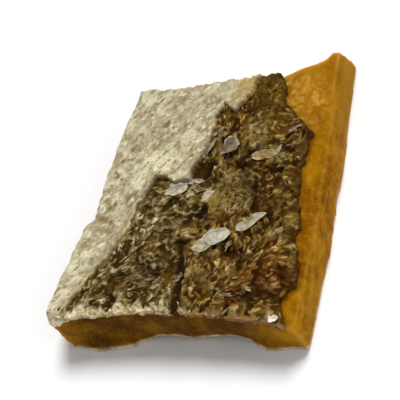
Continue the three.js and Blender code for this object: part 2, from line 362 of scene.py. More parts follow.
def with_cut_sides(grid, bottom):
    """Grid of top points with extra rows and columns that run down its four cut sides, and how far."""
    cut = CUT_CELLS
    top = np.pad(grid, ((cut, cut), (cut, cut), (0, 0)), mode="edge")
    floor = np.pad(bottom, cut, mode="edge")
    outside = [
        (np.maximum(np.arange(size) - (size - 1 - cut), 0) - np.maximum(cut - np.arange(size), 0)) / cut
        for size in floor.shape
    ]
    back, right = np.meshgrid(*outside, indexing="ij")
    down = np.maximum(np.abs(back), np.abs(right))
    turn = down * math.pi / 2
    top[..., 2] = floor + (top[..., 2] - floor) * np.cos(turn)
    rough = np.sin(turn) * layered_noise(top, CUT_ROUGH, 35)
    top[..., 0] += CUT_BULGE * np.sin(right * math.pi / 2) + rough * np.sign(right)
    top[..., 1] += CUT_BULGE * np.sin(back * math.pi / 2) + rough * np.sign(back)
    return top, floor - 0.05, down


def sheet_faces(rows, columns, coarse):
    """Faces of a closed sheet: a fine grid above a grid of every coarse-th point, and its sides."""
    fine = np.arange(rows * columns).reshape(rows, columns)
    shape = fine[::coarse, ::coarse].shape
    below = fine.size + np.arange(shape[0] * shape[1]).reshape(shape)

    def quads(index):
        corners = (index[:-1, :-1], index[:-1, 1:], index[1:, 1:], index[1:, :-1])
        return np.stack(corners, -1).reshape(-1, 4)

    faces = quads(fine).tolist() + quads(below)[:, ::-1].tolist()
    borders = [
        (fine[0], below[0]), (fine[:, -1], below[:, -1]),
        (fine[-1, ::-1], below[-1, ::-1]), (fine[::-1, 0], below[::-1, 0]),
    ]
    for upper, lower in borders:
        for n in range(len(lower) - 1):
            run = upper[n * coarse:(n + 1) * coarse + 1]
            faces.append([int(lower[n]), int(lower[n + 1]), *run[::-1].tolist()])
    return faces


def closed_sheet(top, bottom, coarse):
    """Points and faces of a closed sheet from a grid of top points and the heights of its inner face."""
    below = top[::coarse, ::coarse].copy()
    below[..., 2] = bottom[::coarse, ::coarse]
    points = np.concatenate([top.reshape(-1, 3), below.reshape(-1, 3)])
    return points, sheet_faces(*bottom.shape, coarse)


def make_piece(name, parts, material, attributes=None):
    """One object from a list of points and faces, joined."""
    points, faces, count = [], [], 0
    for part_points, part_faces in parts:
        points.append(part_points)
        faces += [[n + count for n in face] for face in part_faces]
        count += len(part_points)
    mesh = bpy.data.meshes.new(name)
    mesh.from_pydata((np.concatenate(points) * MM).tolist(), [], faces)
    for key, values in (attributes or {}).items():
        set_attribute(mesh, key, values)
    mesh.materials.append(material)
    mesh.shade_smooth()
    piece = new_object(name, mesh)
    return piece


def make_skin_sheet(name, x, y, base, height, material, values):
    """A closed sheet of skin from the heights of its outer face over the flesh, with colour values."""
    top, bottom, wall = with_cut_sides(np.stack([x, y, base + height], -1), base - SKIN_SINK)
    grids = {key: np.pad(grid, CUT_CELLS, mode="edge") for key, grid in values.items()}
    attributes = {
        key: np.concatenate([grid.ravel(), grid[::COARSE, ::COARSE].ravel()])
        for key, grid in {**grids, "wall": wall}.items()
    }
    return make_piece(name, [closed_sheet(top, bottom, COARSE)], material, attributes)


# Flesh

def vertex_values(items, name):
    """Rows of three values of the vertices."""
    values = np.empty(len(items) * 3, np.float32)
    items.foreach_get(name, values)
    return values.reshape(-1, 3).astype(float)


def set_vertex_points(mesh, points):
    mesh.vertices.foreach_set("co", (points * MM).astype(np.float32).ravel())
    mesh.update()


def remeshed(node, voxel):
    """Copy of a CAD node as an even fine mesh."""
    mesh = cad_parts[node].data.copy()
    cleaner = bmesh.new()
    cleaner.from_mesh(mesh)
    bmesh.ops.remove_doubles(cleaner, verts=cleaner.verts, dist=1e-6)
    cleaner.to_mesh(mesh)
    cleaner.free()
    source = new_object(node + "_source", mesh)
    remesh = source.modifiers.new("even", "REMESH")
    remesh.mode = "VOXEL"
    remesh.voxel_size = voxel * MM
    graph = bpy.context.evaluated_depsgraph_get()
    fine = bpy.data.meshes.new_from_object(source.evaluated_get(graph))
    bpy.data.objects.remove(source)
    return fine


def relaxed(points, edges, weight, passes):
    """Points, or rows of values, drawn towards the mean of their neighbours, by a weight for each."""
    count = np.bincount(edges.ravel(), minlength=len(points))[:, None]
    for _ in range(passes):
        total = np.zeros_like(points)
        for axis in range(points.shape[1]):
            for one, other in (edges.T, edges.T[::-1]):
                total[:, axis] += np.bincount(one, points[other, axis], len(points))
        points = points + weight[:, None] * (total / count - points)
    return points


def front_edge(points):
    """Height of the arched lower front edge under each point, and the distance behind the front."""
    columns = np.round((points[:, 0] - points[:, 0].min()) / (2 * FLESH_VOXEL)).astype(int)
    foremost = np.full(columns.max() + 1, np.inf)
    np.minimum.at(foremost, columns, points[:, 1])
    behind = points[:, 1] - foremost[columns]
    front = behind < RAGGED_EDGE["behind"][0]
    lowest = np.full(columns.max() + 1, np.inf)
    np.minimum.at(lowest, columns[front], points[front, 2])
    return lowest[columns], behind


def make_flesh():
    mesh = remeshed("flesh", FLESH_VOXEL)
    edges = np.empty(len(mesh.edges) * 2, np.int32)
    mesh.edges.foreach_get("vertices", edges)
    edges = edges.reshape(-1, 2)
    points = vertex_values(mesh.vertices, "co") / MM
    half = np.full(len(points), 0.5)
    points = relaxed(points, edges, half, 4)
    set_vertex_points(mesh, points)
    normals = vertex_values(mesh.vertex_normals, "vector")
    # convex edges, which get a painted highlight of light shining through the thin flesh
    sharp = np.sum((points - relaxed(points, edges, half, 12)) * normals, axis=1)
    sharp = relaxed(np.clip((sharp - 0.03) / 0.07, 0, 1)[:, None], edges, half, 3)[:, 0]
    upwards = rise(0.05, 0.35, normals[:, 2])
    rounder = upwards * rise(*SHOULDER_ABOVE, points[:, 2]) * fade(*SHARP_TAB, points[:, 1])
    points = relaxed(points, edges, half * rounder, 80)
    set_vertex_points(mesh, points)
    normals = vertex_values(mesh.vertex_normals, "vector")
    x, y, z = points.T
    lowest, behind = front_edge(points)
    above = z - lowest
    front = rise(0, 0.6, -normals[:, 1])
    from_left, from_right = x - x.min(), x.max() - x
    left_end = fade(-1, LIGHT_ENDS["left"], from_left)
    right_end = fade(2, LIGHT_ENDS["right"], from_right)
    shaded = front * (1 - left_end) * (1 - right_end)
    lit = front * np.maximum(0.35 * left_end, right_end)
    lower = fade(0, RAGGED_EDGE["below"], above)
    aside = np.hypot(x - SCALE_PRINTS["x"], y - SCALE_PRINTS["y"])
    prints = fade(0.4, 1, aside / SCALE_PRINTS["reach"]) * upwards
    spacing = SCALE_PRINTS["spacing"]
    prints *= np.clip(layered_noise(points, [(spacing, 0.8), (spacing / 2, 0.6)], 23) + 0.2, 0, 1)
    lift = layered_noise(points, FLESH_WAVES, 11) + SCALE_PRINTS["height"] * prints
    spacing, height = RAGGED_EDGE["crags"]
    lift -= height * front * lower * np.abs(value_noise(points, spacing, 21))
    # painted glow along the thin lower edges, where light shines through
    rim = front * fade(0.5, 1, above / RAGGED_EDGE["rim"])
    right = rise(0.2, 0.7, normals[:, 0]) * fade(0.2, LIGHT_CORNER["above"], z)
    right *= fade(*LIGHT_CORNER["depths"], y)
    rim = np.maximum(rim, 0.7 * right)
    # painted glow where the tab is thin
    thin = rise(*THIN_TAB, y)
    border = np.linspace(0, 1, 60)
    from_skin = distance_to_line(x, y, np.transpose(plan(skin_reach(border), border)))
    # painted shade on the flesh beside the skin's edge
    skin_edge_shade = fade(0.2, SKIN_EDGE_SHADE, from_skin + 0.4 * value_noise(points, 0.8, 27)) * upwards
    left = rise(0.3, 0.8, -normals[:, 0])
    lift -= NOTCH["depth"] * left * bell(y - NOTCH["y"], NOTCH["width"])
    raised = smooth_line(x, LOWER_WAVES)
    sunk = np.minimum(raised + lowest, 0)
    near_edge = lower * fade(*RAGGED_EDGE["behind"], behind)
    points += normals * lift[:, None]
    points[:, 2] += (raised - sunk) * near_edge
    points[:, 1] += FORWARD * sunk * near_edge
    points[:, 2] = np.maximum(points[:, 2], 0)
    set_vertex_points(mesh, points)
    mesh.shade_smooth()
    mesh.materials.clear()
    mesh.materials.append(flesh_material())
    for name, values in (
        ("sharp", sharp), ("rim", rim), ("prints", prints), ("thin", thin), ("shaded", shaded),
        ("lit", lit), ("skin_edge_shade", skin_edge_shade),
    ):
        set_attribute(mesh, name, values)
    piece = new_object("flesh_slab", mesh)
    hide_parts("flesh")
    return piece


# Skin

def skin_grid(cells, left_share, right_share):
    """Plan of a sheet of skin, with the shares across and along it, front row first."""
    s, t = np.meshgrid(np.linspace(0, 1, cells[0] + 1), np.linspace(0, 1, cells[1] + 1))
    left, right = left_share(t), right_share(t)
    x, y = plan(left + s * (right - left), t)
    frayed = layered_noise(flat_points(x, 9 * t), FRAYED_FRONT, 33)
    return s, t, x, y + frayed * fade(0, 0.05, np.minimum(t, 1 - t))


def skin_reach(t):
    """Share of the slab's width where the dark skin ends, with its ragged border."""
    width = 40  # of the slab, about
    return on_line(t, SKIN_REACH) + layered_noise(flat_points(width * t, 0 * t), RAGGED, 31) / width


def grain_angle(x, y):
    """Angle at which ridges run at a place, in radians."""
    return math.radians(GRAIN) + 0.8 * math.sin(x / 3.1 + 1.3 * math.sin(y / 4.3))


def stamped_flaps(x, y, kind, seed):
    """Height of overlapping flaps in rows, their free rims, and a random tone for each."""
    draw = np.random.default_rng(seed)
    height, rim, tone = np.zeros(x.shape), np.zeros(x.shape), np.full(x.shape, 0.5)
    places = flat_points(x, y)
    pitch, window = kind["pitch"], 1.3 * max(kind["length"][1], kind["width"][1])
    fray = 0.35 * layered_noise(places, [(0.9, 0.7), (0.4, 0.4)], seed + 1)
    x = x + 0.3 * pitch[0] * value_noise(places, 1.5 * pitch[1], seed + 2)
    y = y + 0.3 * pitch[0] * value_noise(places, 1.5 * pitch[1], seed + 3)
    turn = math.radians(GRAIN - 90)
    reach = 30  # the rows cover the slab, whichever way they run
    for n, across in enumerate(np.arange(-reach, reach, pitch[1])):
        for along in np.arange(-reach, reach, pitch[0]):
            a = along + pitch[0] * (0.5 * (n % 2) + draw.uniform(-0.4, 0.4))
            b = across + pitch[1] * draw.uniform(-0.4, 0.4)
            cx, cy = turned(a, b, -turn)
            angle = grain_angle(cx, cy) - math.pi / 2 + draw.normal(0, 0.4)
            half_length, half_width = draw.uniform(*kind["length"]), draw.uniform(*kind["width"])
            tall, shade = draw.uniform(*kind["height"]), draw.uniform()
            near = (np.abs(x - cx) < window) & (np.abs(y - cy) < window)
            if draw.uniform() < kind["lost"] or not near.any():
                continue
            p, q = turned(x[near] - cx, y[near] - cy, angle)
            p = p / half_length
            r = np.hypot(p, q / half_width) + fray[near]
            flap = tall * (0.2 + 0.8 * rise(-0.7, 0.8, p)) * np.sqrt(np.clip(1 - r ** 6, 0, 1))
            higher = flap > height[near]
            height[near] = np.where(higher, flap, height[near])
            rim[near] = np.where(higher, rise(0.4, 0.9, r) * rise(-0.3, 0.4, p), rim[near])
            tone[near] = np.where(higher, shade, tone[near])
    return height, rim, tone


def stamped_ridges(x, y):
    """Height of curved ridges with pointed ends that lie over the flaps."""
    draw = np.random.default_rng(8)
    height = np.zeros(x.shape)
    for _ in range(RIDGES["count"]):
        cx, cy = draw.uniform(*RIDGES["x"]), draw.uniform(*RIDGES["y"])
        angle = grain_angle(cx, cy) + draw.normal(0, 0.5)
        half_length, half_width = draw.uniform(*RIDGES["length"]), draw.uniform(*RIDGES["width"])
        bend, tall = draw.normal(0, 0.25), draw.uniform(*RIDGES["height"])
        near = (np.abs(x - cx) < half_length) & (np.abs(y - cy) < half_length)
        p, q = turned(x[near] - cx, y[near] - cy, angle)
        along = np.clip(1 - (p / half_length) ** 2, 0, 1)
        across = np.clip(1 - ((q - bend * p * p) / half_width) ** 2 / (along + 0.01), 0, 1)
        height[near] = np.maximum(height[near], tall * along * np.sqrt(across))
    return height


def oval_side(x, y, oval):
    """Distance from the middle of an oval, which is 1 at its rim."""
    p, q = turned(x - oval["x"], y - oval["y"], math.radians(oval["turn"]))
    return 2 * np.hypot(p / oval["length"], q / oval["width"])


def patches(x, y, spots):
    """Share of a colour around its spots, with uneven borders."""
    uneven = 0.5 * layered_noise(flat_points(x, y), [(2.0, 1.0), (0.8, 0.6)], 71)
    share = np.zeros(x.shape)
    for px, py, radius in spots:
        share = np.maximum(share, fade(0.4, 1.3, np.hypot(x - px, y - py) / radius + uneven))
    return share


def depth_in_band(x, y):
    """Distance of each place inside the pale band's inner edge."""
    return np.where(left_of_line(x, y, BAND_EDGE), 1, -1) * distance_to_line(x, y, BAND_EDGE)


def make_dark_skin():
    s, t, x, y = skin_grid(SKIN_CELLS, lambda t: np.interp(t, (0, 1), SKIN_LEFT), skin_reach)
    under = rise(*UNDER_BAND["depths"], depth_in_band(x, y))
    at_front, at_back = (1 - t) ** 12, t ** 12
    y = y + BACK_TONGUE["length"] * bell(x - BACK_TONGUE["x"], BACK_TONGUE["reach"]) * at_back
    y = y + UNDER_BAND["shorter"] * under * (at_front - at_back)
    places = flat_points(x, y)
    base = flesh_height(x, y)
    plates, plate_rim, plate_tone = stamped_flaps(x, y, PLATES, 5)
    flaps, rim, tone = stamped_flaps(x, y, FLAPS, 7)
    ridges = stamped_ridges(x, y)
    covered = fade(0.8, 1.2, np.min([oval_side(x, y, scale) for scale in LOOSE_SCALES], axis=0))
    crease = distance_to_line(x, y, CREASE) + 0.5 * value_noise(places, 0.9, 45)
    groove = fade(*CREASE_WIDTH, crease) * fade(*CREASE_CLOSED, y)
    torn_side = 0.25 * value_noise(places, 0.9, 46)
    pit = fade(0.6, 1.1, oval_side(x, y, PIT) + torn_side)
    hole = fade(0.5, 1.1, oval_side(x, y, HOLE) + torn_side)
    # the crease, pit and hole get near-black painted shade
    deep = np.max([0.85 * groove, pit, 0.85 * hole], axis=0)
    crease_y, crease_x = np.array(sorted((py, px) for px, py in CREASE)).T
    right_part = rise(*RIGHT_PART, x - np.interp(y, crease_y, crease_x))
    worn = rise(-0.5, 0.4, value_noise(places, 3.0, 47))
    calm = patches(x, y, LOBE)
    relief = flaps * (0.45 + 0.55 * worn) + plates * (0.45 + 0.5 * right_part) * (1 - 0.7 * calm) + ridges
    relief *= (1 - 0.8 * covered) * (1 - deep) * (1 - 0.1 * calm)
    height = SKIN_THICKNESS - DARK_THINNER + layered_noise(places, SKIN_LUMPS, 41) + relief
    height -= CREASE_DEPTH * groove + PIT_DEPTH * np.maximum(pit, hole)
    thin = THIN_FRONT["share"] * fade(0, THIN_FRONT["along"], t)
    frayed = THIN_FRONT["height"] + THIN_FRONT["rough"] * value_noise(places, 0.6, 48)
    height = height * (1 - thin) + thin * frayed
    from_border = (1 - s) * (x[:, -1:] - x[:, :1]) + 0.5 * value_noise(places, 0.9, 50)
    height *= 1 - THIN_BORDER["share"] * fade(0, THIN_BORDER["width"], from_border)
    height = np.maximum(height * (1 - UNDER_BAND["thinner"] * under), SKIN_THINNEST)
    ragged = rise(-0.5, 0.3, value_noise(places, 0.9, 49))
    torn_back = smooth_line(x, TORN_FRONT) * (1 + 0.6 * value_noise(flat_points(x, 0 * y), 0.5, 61))
    shade = SHADES["plates"] * (plate_tone - 0.5) + SHADES["waves"] * layered_noise(places, SHADE_WAVES, 63)
    shade *= 1.25 - 0.25 * right_part
    shade += SHADES["light"] * patches(x, y, LIGHT_PATCHES) - SHADES["dark"] * patches(x, y, DARK_PATCHES)
    shade = SHADES["middle"] + shade * (1 - 0.85 * calm)
    rims = np.maximum(rim, 0.8 * plate_rim) + rise(0.04, 0.16, ridges)
    rims *= rise(-0.7, 0.35, value_noise(places, 0.5, 65))
    values = {
        "relief": relief / 0.6,
        "rim": np.clip(rims, 0, 1) * (1 - deep) * (1 - 0.5 * calm) * (1 - 0.15 * right_part),
        "tone": tone, "shade": np.clip(shade, 0, 1), "deep": deep, "right": right_part,
        # browner on the left side of the pit
        "pit_brown": pit * fade(-0.7, 0.5, x - PIT["x"]),
        "edge": rise(0.95, 1, s) * (0.4 + 0.6 * ragged),
        "cut": fade(0.3, 1.1, t / torn_back) * (1 - 0.4 * rise(-1, 5, x)) * (1 - groove),
        "red": patches(x, y, RED_PATCHES), "tan": patches(x, y, TAN_PATCHES),
        "olive": patches(x, y, OLIVE_PATCHES),
    }
    piece = make_skin_sheet("dark_skin", x, y, base, height, dark_skin_material(), values)
    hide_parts("skin")
    return piece


def band_left(t):
    """Share of the slab's width where the pale band starts: it hangs over except at the notch."""
    return on_line(t, LIP) / (corners["front_right"][0] - corners["front_left"][0])


def stamped_specks(x, y):
    """Small dark spots, drawn out along the grain."""
    draw = np.random.default_rng(12)
    dark = np.zeros(x.shape)
    for _ in range(SPECKS["count"]):
        u, t = draw.uniform(0.02, 0.4), draw.uniform(0.05, 0.95)
        cx, cy = plan(u, t)
        length = draw.uniform(*SPECKS["length"])
        turn = GRAIN + draw.normal(0, SPECKS["spread"])
        speck = {"x": cx, "y": cy, "length": length, "width": SPECKS["slimness"] * length, "turn": turn}
        strength = draw.uniform(0.2, 1) ** 1.5
        dark = np.maximum(dark, strength * fade(0.5, 1.2, oval_side(x, y, speck)))
    return np.maximum(dark, 0.9 * fade(0.4, 1.2, oval_side(x, y, DARK_SPOT)))


def make_band():
    _, t, x, y = skin_grid(BAND_CELLS, band_left, lambda t: np.interp(t, (0, 1), BAND_RIGHT))
    places = flat_points(x, y)
    side = plan(0 * t, t)[0]
    base = flesh_height(np.maximum(x, side + 0.3), y)
    outside = np.maximum(side - x, 0)
    base -= LIP_DROOP * outside ** 2 / (outside + 0.4)
    corner = bell(x - side - CORNER["x"], CORNER["reach"]) * fade(0, CORNER["along"], t)
    base -= CORNER["down"] * corner
    y = y - CORNER["forward"] * corner
    inside = depth_in_band(x, y) + layered_noise(places, BAND_FRAY, 51)
    step = rise(-1, 1, inside / on_line(t, BAND_SOFT))
    rounding = np.clip(1 - (x - x[:, :1]) / LIP_ROUNDING, 0, 1)
    lip = LIP_ROUNDING * (1 - np.sqrt(1 - rounding ** 2))
    along, across = turned(x, y, math.radians(GRAIN))
    drawn_out = flat_points(along / BAND_WRINKLES["drawn"], across)
    wrinkles = layered_noise(drawn_out, BAND_WRINKLES["layers"], 57)
    curl = BAND_CURL["height"] * bell(inside - BAND_CURL["inside"], BAND_CURL["width"])
    fold = bell(distance_to_line(x, y, FOLD_LINE), FOLD["width"])
    specks = stamped_specks(x, y)
    height = SKIN_THICKNESS + on_line(t, BAND_LIFT) + layered_noise(places, BAND_LUMPS, 55) + curl
    height += BAND_WRINKLES["height"] * wrinkles - lip - FOLD["depth"] * fold - SPECKS["depth"] * specks
    height *= 1 - BAND_FRONT["thinner"] * fade(0, BAND_FRONT["along"], t)
    height = -BAND_SUNK + step * (np.maximum(height, SKIN_THINNEST) + BAND_SUNK)
    browned = np.hypot(x - BAND_TAN["x"], y - BAND_TAN["y"]) / BAND_TAN["radius"]
    browned += 0.3 * value_noise(places, 1.2, 59)
    values = {
        # side marks the foot of the inner edge, which gets painted shadow
        "side": 1 - step, "rim": fade(0.1, 1.4, inside), "wrinkle": 0.5 + 0.5 * wrinkles,
        "pit_brown": fade(0.95, 1.5, oval_side(x, y, PIT)), "fold": fold, "speck": specks,
        "cut": fade(0.002, 0.014, t), "tan": fade(0.2, 1, browned),
        # painted shade where the band's surface rounds down towards its inner edge
        "falling": fade(0, 2.6, inside) * fade(0.4, 0.5, t),
        # painted light where the corner's skin turns away from the light
        "corner": fade(0.04, 0.28, t),
    }
    return make_skin_sheet("pale_skin", x, y, base, height, pale_skin_material(), values)


# Loose scales, chips and the frayed front edge

def skin_tree(pieces):
    """Tree of the finished skin, to lay small things on it."""
    points, faces = [], []
    for piece in pieces:
        faces += [[n + len(points) for n in polygon.vertices] for polygon in piece.data.polygons]
        points += [vertex.co for vertex in piece.data.vertices]
    return BVHTree.FromPolygons(points, faces)


def flake(tree, x, y, length, width, turn, curl, tilt, torn, seed):
    """A thin curled scale with a torn outline on the skin: points, faces and how far out the points are."""
    u, v = np.meshgrid(*(np.linspace(-1, 1, count) for count in FLAKE["cells"]))
    p = u * np.sqrt(1 - v * v / 2)
    q = v * np.sqrt(1 - u * u / 2)
    outwards = np.hypot(p, q)
    round_places = np.stack([p, q, 0 * p + 3 * seed], -1)
    outline = 1 + torn * layered_noise(round_places, [(0.9, 1.0), (0.4, 0.5)], seed) * outwards
    crease = np.abs(q + 0.4 * p * math.cos(seed))
    z = curl * (crease + 0.5 * q * q + 0.4 * p * p)
    p, q = p * outline * length / 2, q * outline * width / 2
    crumpled = layered_noise(round_places * (length, width, 1), [(1.2, 1.0), (0.5, 0.4)], seed + 1)
    z += FLAKE["crumple"] * crumpled
    spin = Matrix.Rotation(math.radians(turn), 3, "Z") @ Matrix.Rotation(tilt, 3, "Y")
    top = np.stack([p, q, z], -1) @ np.array(spin).T + np.array([x, y, 0])
    under = [(ray_down(tree, *point[:2]), point[2]) for point in top.reshape(-1, 3)]
    gaps = np.array([hit.z / MM - z if hit else np.nan for hit, z in under]).reshape(u.shape)
    laid = np.nanquantile(gaps, 0.8)
    top[..., 2] += np.fmax(laid, blurred(np.where(np.isnan(gaps), laid, gaps), 1) + FLAKE["above"])
    return *closed_sheet(top, top[..., 2] - FLAKE["thickness"], 1), np.tile(outwards.ravel(), 2)


def make_loose_scales(tree):
    parts, shades, rims = [], [], []
    for n, scale in enumerate(LOOSE_SCALES):
        form = {key: value for key, value in scale.items() if key != "shade"}
        points, faces, outwards = flake(tree, **form, torn=FLAKE["torn"], seed=n + 40)
        parts.append((points, faces))
        shades.append(np.full(len(points), scale["shade"]))
        rims.append(rise(0.5, 1, outwards))
    attributes = {"shade": np.concatenate(shades), "rim": np.concatenate(rims)}
    return make_piece("loose_scales", parts, loose_scale_material(), attributes)


def make_chips(tree):
    """Small lifted bits of scale on the dark part."""
    draw = np.random.default_rng(9)
    parts = []
    while len(parts) < CHIPS["count"]:
        t = draw.uniform(0.02, 0.8)
        x, y = plan(draw.uniform(0.1, skin_reach(np.array(t)) - 0.06), t)
        length = draw.uniform(*CHIPS["length"])
        width = length * draw.uniform(*CHIPS["slimness"])
        turn = math.degrees(grain_angle(x, y)) + draw.normal(0, 30)
        curl, tilt = draw.uniform(0.1, 0.25), draw.normal(0, 0.2)
        tan = patches(np.array(x), np.array(y), TAN_PATCHES)
        if tan < 0.2 and not left_of_line(x, y, BAND_EDGE):
            chip = flake(tree, x, y, length, width, turn, curl, tilt, CHIPS["torn"], seed=len(parts))
            parts.append(chip[:2])
    return make_piece("scale_chips", parts, chip_material())


def tuft(start, towards, length, width, bend):
    """A flat tapering wisp with four sides."""
    count = 5
    share = np.linspace(0, 1, count)[:, None]
    line = start + length * share * towards + bend * share ** 2
    across = np.cross(towards, (0, 0, 1.0))
    across /= np.linalg.norm(across)
    up = 0.4 * np.cross(across, towards)
    rings = [line + width / 2 * (1 - 0.85 * share) * side for side in (across, up, -across, -up)]
    points = np.stack(rings, 1).reshape(-1, 3)
    faces = [
        [4 * n + k, 4 * n + 4 + k, 4 * n + 4 + (k + 1) % 4, 4 * n + (k + 1) % 4]
        for n in range(count - 1) for k in range(4)
    ]
    last = 4 * (count - 1)
    return points, faces + [[0, 1, 2, 3], [last + 3, last + 2, last + 1, last]]


def make_fringe(tree):
    """Wisps of skin on the frayed front edge: pale on the left, darker on the right and where they hang."""
    draw = np.random.default_rng(10)
    parts, shades = [], []
    while len(parts) < TUFTS["count"]:
        x, y = plan(TUFTS["start"] + TUFTS["span"] * draw.uniform() ** 1.3, 0.0)
        if abs(x - CREASE[0][0]) < TUFTS["off_crease"]:
            continue
        hit = ray_down(tree, x, y + 0.5)
        start = np.array([x, y + draw.uniform(-0.1, 0.35), hit.z / MM - draw.uniform(0.0, 0.35)])
        towards = np.array([draw.normal(0, 0.5), draw.uniform(0.1, 1.0), draw.uniform(0.0, 0.4)])
        hangs = draw.uniform() < TUFTS["hanging"]
        if hangs:
            start[1:] = y + 0.1, hit.z / MM - 0.2
            towards *= (1, -0.5, -2.5)
        towards /= np.linalg.norm(towards)
        bend = draw.normal(0, 0.15, 3)
        width = draw.uniform(*TUFTS["width"])
        length = np.interp(draw.uniform() ** 2.5, (0, 1), TUFTS["length"])
        parts.append(tuft(start, towards, length * (0.5 if hangs else 1), width, bend))
        shades.append(np.full(len(parts[-1][0]), max(float(hangs), 0.8 * rise(1, 6, x))))
    return make_piece("fringe", parts, fringe_material(), {"dark": np.concatenate(shades)})


# Materials

def colour(red, green, blue):
    """Linear colour of screen values from 0 to 255."""
    def linear(value):
        share = value / 255
        return share / 12.92 if share <= 0.04045 else ((share + 0.055) / 1.055) ** 2.4
    return (linear(red), linear(green), linear(blue), 1)


def shares(red, green, blue):
    """Colour to multiply by, from plain shares of light."""
    return (red, green, blue, 1)


class Shader:
    """A material with one Principled shader, and short ways to add nodes to it."""

    def __init__(self, name):
        self.material = bpy.data.materials.new(name)
        self.material.use_nodes = True
        self.nodes = self.material.node_tree.nodes
        self.links = self.material.node_tree.links
        self.surface = self.nodes["Principled BSDF"]
        self.place = self.nodes.new("ShaderNodeTexCoord").outputs["Object"]

    def set(self, **values):
        """Constants or node outputs for inputs of the Principled shader."""
        for name, value in values.items():
            self.feed(self.surface.inputs[name.replace("_", " ")], value)

    def feed(self, target, value):
        """A constant, a node output or the name of an attribute for an input."""
        if isinstance(value, str):
            value = self.attribute(value)
        if isinstance(value, bpy.types.NodeSocket):
            self.links.new(value, target)
        else:
            target.default_value = value

    def noise(self, spacing, detail=3, roughness=0.6, drawn=None):
        """Noise with lumps about spacing apart, which may be drawn out along an angle in plan."""
        node = self.nodes.new("ShaderNodeTexNoise")
        node.inputs["Scale"].default_value = 1 / (spacing * MM)
        node.inputs["Detail"].default_value = detail
        node.inputs["Roughness"].default_value = roughness
        self.links.new(self.drawn_out(*drawn) if drawn else self.place, node.inputs["Vector"])
        return node.outputs["Fac"]

    def drawn_out(self, angle, times):
        """Places by which a pattern is longer along an angle in plan."""
        node = self.nodes.new("ShaderNodeMapping")
        node.vector_type = "TEXTURE"
        node.inputs["Rotation"].default_value = (0, 0, math.radians(angle))
        node.inputs["Scale"].default_value = (times, 1, 1)
        self.links.new(self.place, node.inputs["Vector"])
        return node.outputs["Vector"]

    def attribute(self, name):
        node = self.nodes.new("ShaderNodeAttribute")
        node.attribute_name = name
        return node.outputs["Fac"]

    def patchy(self, spacing, low, high, start=0, end=1, **form):
        """Value from start to end in patches, where a noise goes from low to high."""
        return self.steps(self.noise(spacing, **form), low, high, start, end)

    def ramp(self, source, *stops, kind=colour):
        """Colours along a source: each stop is its position and three values."""
        node = self.nodes.new("ShaderNodeValToRGB")
        elements = node.color_ramp.elements
        while len(elements) < len(stops):
            elements.new(0.5)
        for element, (position, *values) in zip(elements, stops):
            element.position = position
            element.color = kind(*values)
        self.feed(node.inputs["Fac"], source)
        return node.outputs["Color"]

    def steps(self, source, low, high, start=0, end=1):
        """Value from start to end while the source goes from low to high."""
        node = self.nodes.new("ShaderNodeMapRange")
        for key, value in (("From Min", low), ("From Max", high), ("To Min", start), ("To Max", end)):
            node.inputs[key].default_value = value
        self.feed(node.inputs["Value"], source)
        return node.outputs["Result"]

    def mix(self, share, first, second, way):
        node = self.nodes.new("ShaderNodeMix")
        node.data_type = "RGBA"
        node.blend_type = way
        self.feed(node.inputs["Factor"], share)
        self.feed(node.inputs[6], first)
        self.feed(node.inputs[7], second)
        return node.outputs[2]

    def layers(self, under, *layers, way="MIX"):
        """Colours laid over one by one: each by a share, and only where an attribute says if one is named."""
        for tone, share, *names in layers:
            for name in names:
                share = self.times(name, share)
            tone = tone if isinstance(tone, bpy.types.NodeSocket) else colour(*tone)
            under = self.mix(share, under, tone, way)
        return under

    def times(self, first, second):
        node = self.nodes.new("ShaderNodeMath")
        node.operation = "MULTIPLY"
        self.feed(node.inputs[0], first)
        self.feed(node.inputs[1], second)
        return node.outputs[0]

    def finished(self, tone, roughness, patch, bumps, **values):
        """The material, with its colour, a roughness that differs in patches, fine bumps and other values."""
        self.set(Base_Color=tone, Roughness=self.patchy(patch, 0.3, 0.7, *roughness), **values)
        spacing, detail, height, strength = bumps
        self.bump(self.noise(spacing, detail), height, strength)
        return self.material

    def bump(self, source, height, strength):
        node = self.nodes.new("ShaderNodeBump")
        node.inputs["Strength"].default_value = strength
        node.inputs["Distance"].default_value = height * MM
        self.links.new(source, node.inputs["Height"])
        self.set(Normal=node.outputs["Normal"])


